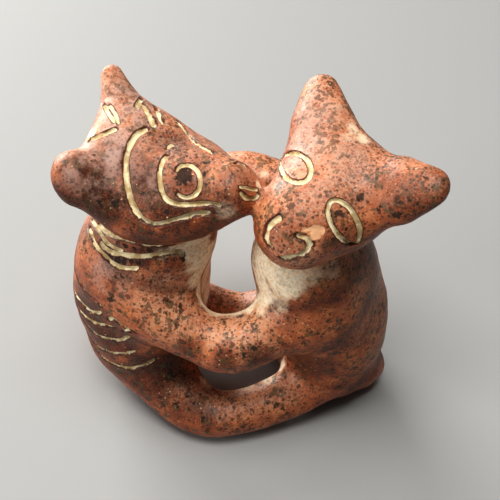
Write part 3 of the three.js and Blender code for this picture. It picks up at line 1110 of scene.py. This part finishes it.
def burnished_clay():
    clay = Shader("burnished_clay")
    patchy = clay.noise(4.5, detail=4, rough=0.65)
    fine = clay.noise(1.1, detail=3, rough=0.6)
    grain = clay.noise(0.4, detail=2, rough=0.6)
    colour = slip_colour(clay, patchy, fine, grain)
    colour = marks_on_slip(clay, colour, patchy)

    # Unslipped clay on the inner faces.
    rim = clay.frayed(clay.frayed(clay.amount("bare"), patchy, reach=0.7), fine, reach=0.5)
    bare = clay.ease(rim, 0.12, 0.9)
    bare_colour = clay.mix(clay.ease(fine, 0.4, 0.75), BARE_CLAY, BARE_SHADE)
    colour = clay.cover(colour, bare_colour, bare, strength=0.95)

    # Smoky blotches and dark dots, thick in some places and thin in others.
    thick = clay.ease(clay.noise(7, detail=3, rough=0.6), 0.4, 0.56)
    smoke = clay.times(clay.ease(clay.noise(1.7, detail=3, rough=0.6), 0.52, 0.58), thick)
    tiny = clay.times(clay.dots(0.75, radius=0.42, share=0.65), 0.6)
    small = clay.times(clay.dots(1.25, radius=0.4, share=0.55, ragged=0.4), 0.72)
    large = clay.times(clay.dots(2.3, radius=0.42, share=0.5, ragged=0.7), thick, 0.75)
    slipped = clay.times(clay.away_from(bare, strength=0.75),
                         clay.away_from(clay.amount("bloom"), strength=0.45))
    dotted = clay.times(clay.most(tiny, small, large), slipped)
    colour = clay.cover(colour, SMOKE, clay.times(smoke, slipped), strength=0.75)
    colour = clay.cover(colour, SPECK, dotted)
    glints = clay.times(clay.dots(1.1, radius=0.26, share=0.3), slipped)
    colour = clay.cover(colour, GLINT, glints, strength=0.5)

    # Sooty patches, and the cuts: a stain with painted shade along their edges and a pale deposit inside.
    sooty = clay.ease(clay.frayed(clay.amount("soot"), fine, reach=1.8), 0.4, 0.66)
    colour = clay.cover(colour, SOOT, sooty, strength=0.88)
    left_in_cuts = clay.frayed(clay.amount("deposit"), fine, reach=0.6)
    # The dark band along the cuts is partly stain and partly painted shade of their walls.
    stain_and_painted_shade = clay.times(clay.ease(left_in_cuts, 0.12, 0.4), clay.ease(patchy, 0.32, 0.5))
    colour = clay.cover(colour, DEEP_BROWN, stain_and_painted_shade, strength=0.85)
    filled = clay.ease(left_in_cuts, 0.5, 0.68)
    aged = clay.ease(clay.noise(2.6, detail=3), 0.42, 0.62)
    colour = clay.cover(colour, clay.mix(aged, DEPOSIT_PALE, DEPOSIT_OLIVE), filled, strength=0.95)
    chip_colour = clay.mix(clay.ease(fine, 0.5, 0.7), FRESH_CHIP, RED_ORANGE)
    colour = clay.cover(colour, chip_colour, clay.ease(clay.amount("chipped"), 0.3, 0.7))
    clay.feed(clay.surface.inputs["Base Color"], colour)

    # Burnished skin with dull deposit.
    dull = clay.most(bare, filled, sooty)
    rough = clay.blend(dull, clay.blend(patchy, BURNISHED, WORN_DULL), MATT)
    clay.feed(clay.surface.inputs["Roughness"], rough)
    clay.surface.inputs["Specular IOR Level"].default_value = SHEEN

    # Fine relief: grains, pits at the dots and shallow strokes of the burnishing stone.
    bump = clay.node("ShaderNodeBump")
    bump.inputs["Strength"].default_value = BUMP_STRENGTH
    bump.inputs["Distance"].default_value = BUMP_DEPTH * METRE
    clay.feed(bump.inputs["Height"], clay.total((fine, 0.6), (grain, 0.4), (patchy, 0.8), (dotted, -0.3)))
    clay.feed(clay.surface.inputs["Normal"], bump.outputs[0])
    return clay.material


def plain(name, colour, rough):
    shader = Shader(name)
    shader.surface.inputs["Base Color"].default_value = colour
    shader.surface.inputs["Roughness"].default_value = rough
    return shader.material


# The set

# Lengths are in metres from here on.
FLOOR_HALF = 1.2
CLIP_START = 0.01
LAMP_AIM = (0, 0, 0.05)
# Place, size, power in watts and colour of each lamp.
LAMPS = {
    "window": ((-0.47, 0.6, 0.26), 0.5, 10, (1.0, 0.97, 0.92)),
    "overhead": ((-0.05, -0.08, 0.8), 0.4, 6.2, (1.0, 0.98, 0.93)),
    "left": ((-0.68, -0.32, 0.22), 0.3, 2.6, (1.0, 0.98, 0.94)),
}
ROOM_COLOUR = (1, 0.96, 0.92, 1)
ROOM_LIGHT = 0.08


def make_floor():
    corners = [(FLOOR_HALF * x, FLOOR_HALF * y, 0) for x, y in ((-1, -1), (1, -1), (1, 1), (-1, 1))]
    mesh = bpy.data.meshes.new("floor")
    mesh.from_pydata(corners, [], [(0, 1, 2, 3)])
    floor = bpy.data.objects.new("floor", mesh)
    floor.data.materials.append(plain("floor_paint", FLOOR, FLOOR_ROUGHNESS))
    bpy.context.collection.objects.link(floor)


def make_lamp(name, place, size, power, colour):
    lamp = bpy.data.lights.new(name, "AREA")
    lamp.energy = power
    lamp.size = size
    lamp.color = colour
    made = bpy.data.objects.new(name, lamp)
    made.location = place
    made.rotation_euler = (Vector(LAMP_AIM) - Vector(place)).to_track_quat("-Z", "Y").to_euler()
    bpy.context.collection.objects.link(made)


def light_the_room():
    for name, lamp in LAMPS.items():
        make_lamp(name, *lamp)
    world = bpy.data.worlds.new("room")
    world.use_nodes = True
    world.node_tree.nodes["Background"].inputs["Color"].default_value = ROOM_COLOUR
    world.node_tree.nodes["Background"].inputs["Strength"].default_value = ROOM_LIGHT
    bpy.context.scene.world = world
    bpy.context.scene.view_settings.view_transform = "Standard"
    bpy.context.scene.view_settings.look = "Medium High Contrast"


def make_camera():
    camera = bpy.data.cameras.new("camera")
    camera.sensor_width = SENSOR
    camera.lens = SENSOR * CAMERA_DISTANCE / (PIXEL * PICTURE)
    camera.clip_start = CLIP_START
    made = bpy.data.objects.new("camera", camera)
    turn = Matrix([RIGHTWARDS, UPWARDS, BACKWARDS]).transposed().to_4x4()
    made.matrix_world = Matrix.Translation((EYE - MIDDLE) * METRE) @ turn
    bpy.context.collection.objects.link(made)
    bpy.context.scene.camera = made


figurine = make_figurine()
figurine.data.materials.append(burnished_clay())
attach(figurine, "root")
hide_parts("cat_pair")

make_floor()
light_the_room()
make_camera()
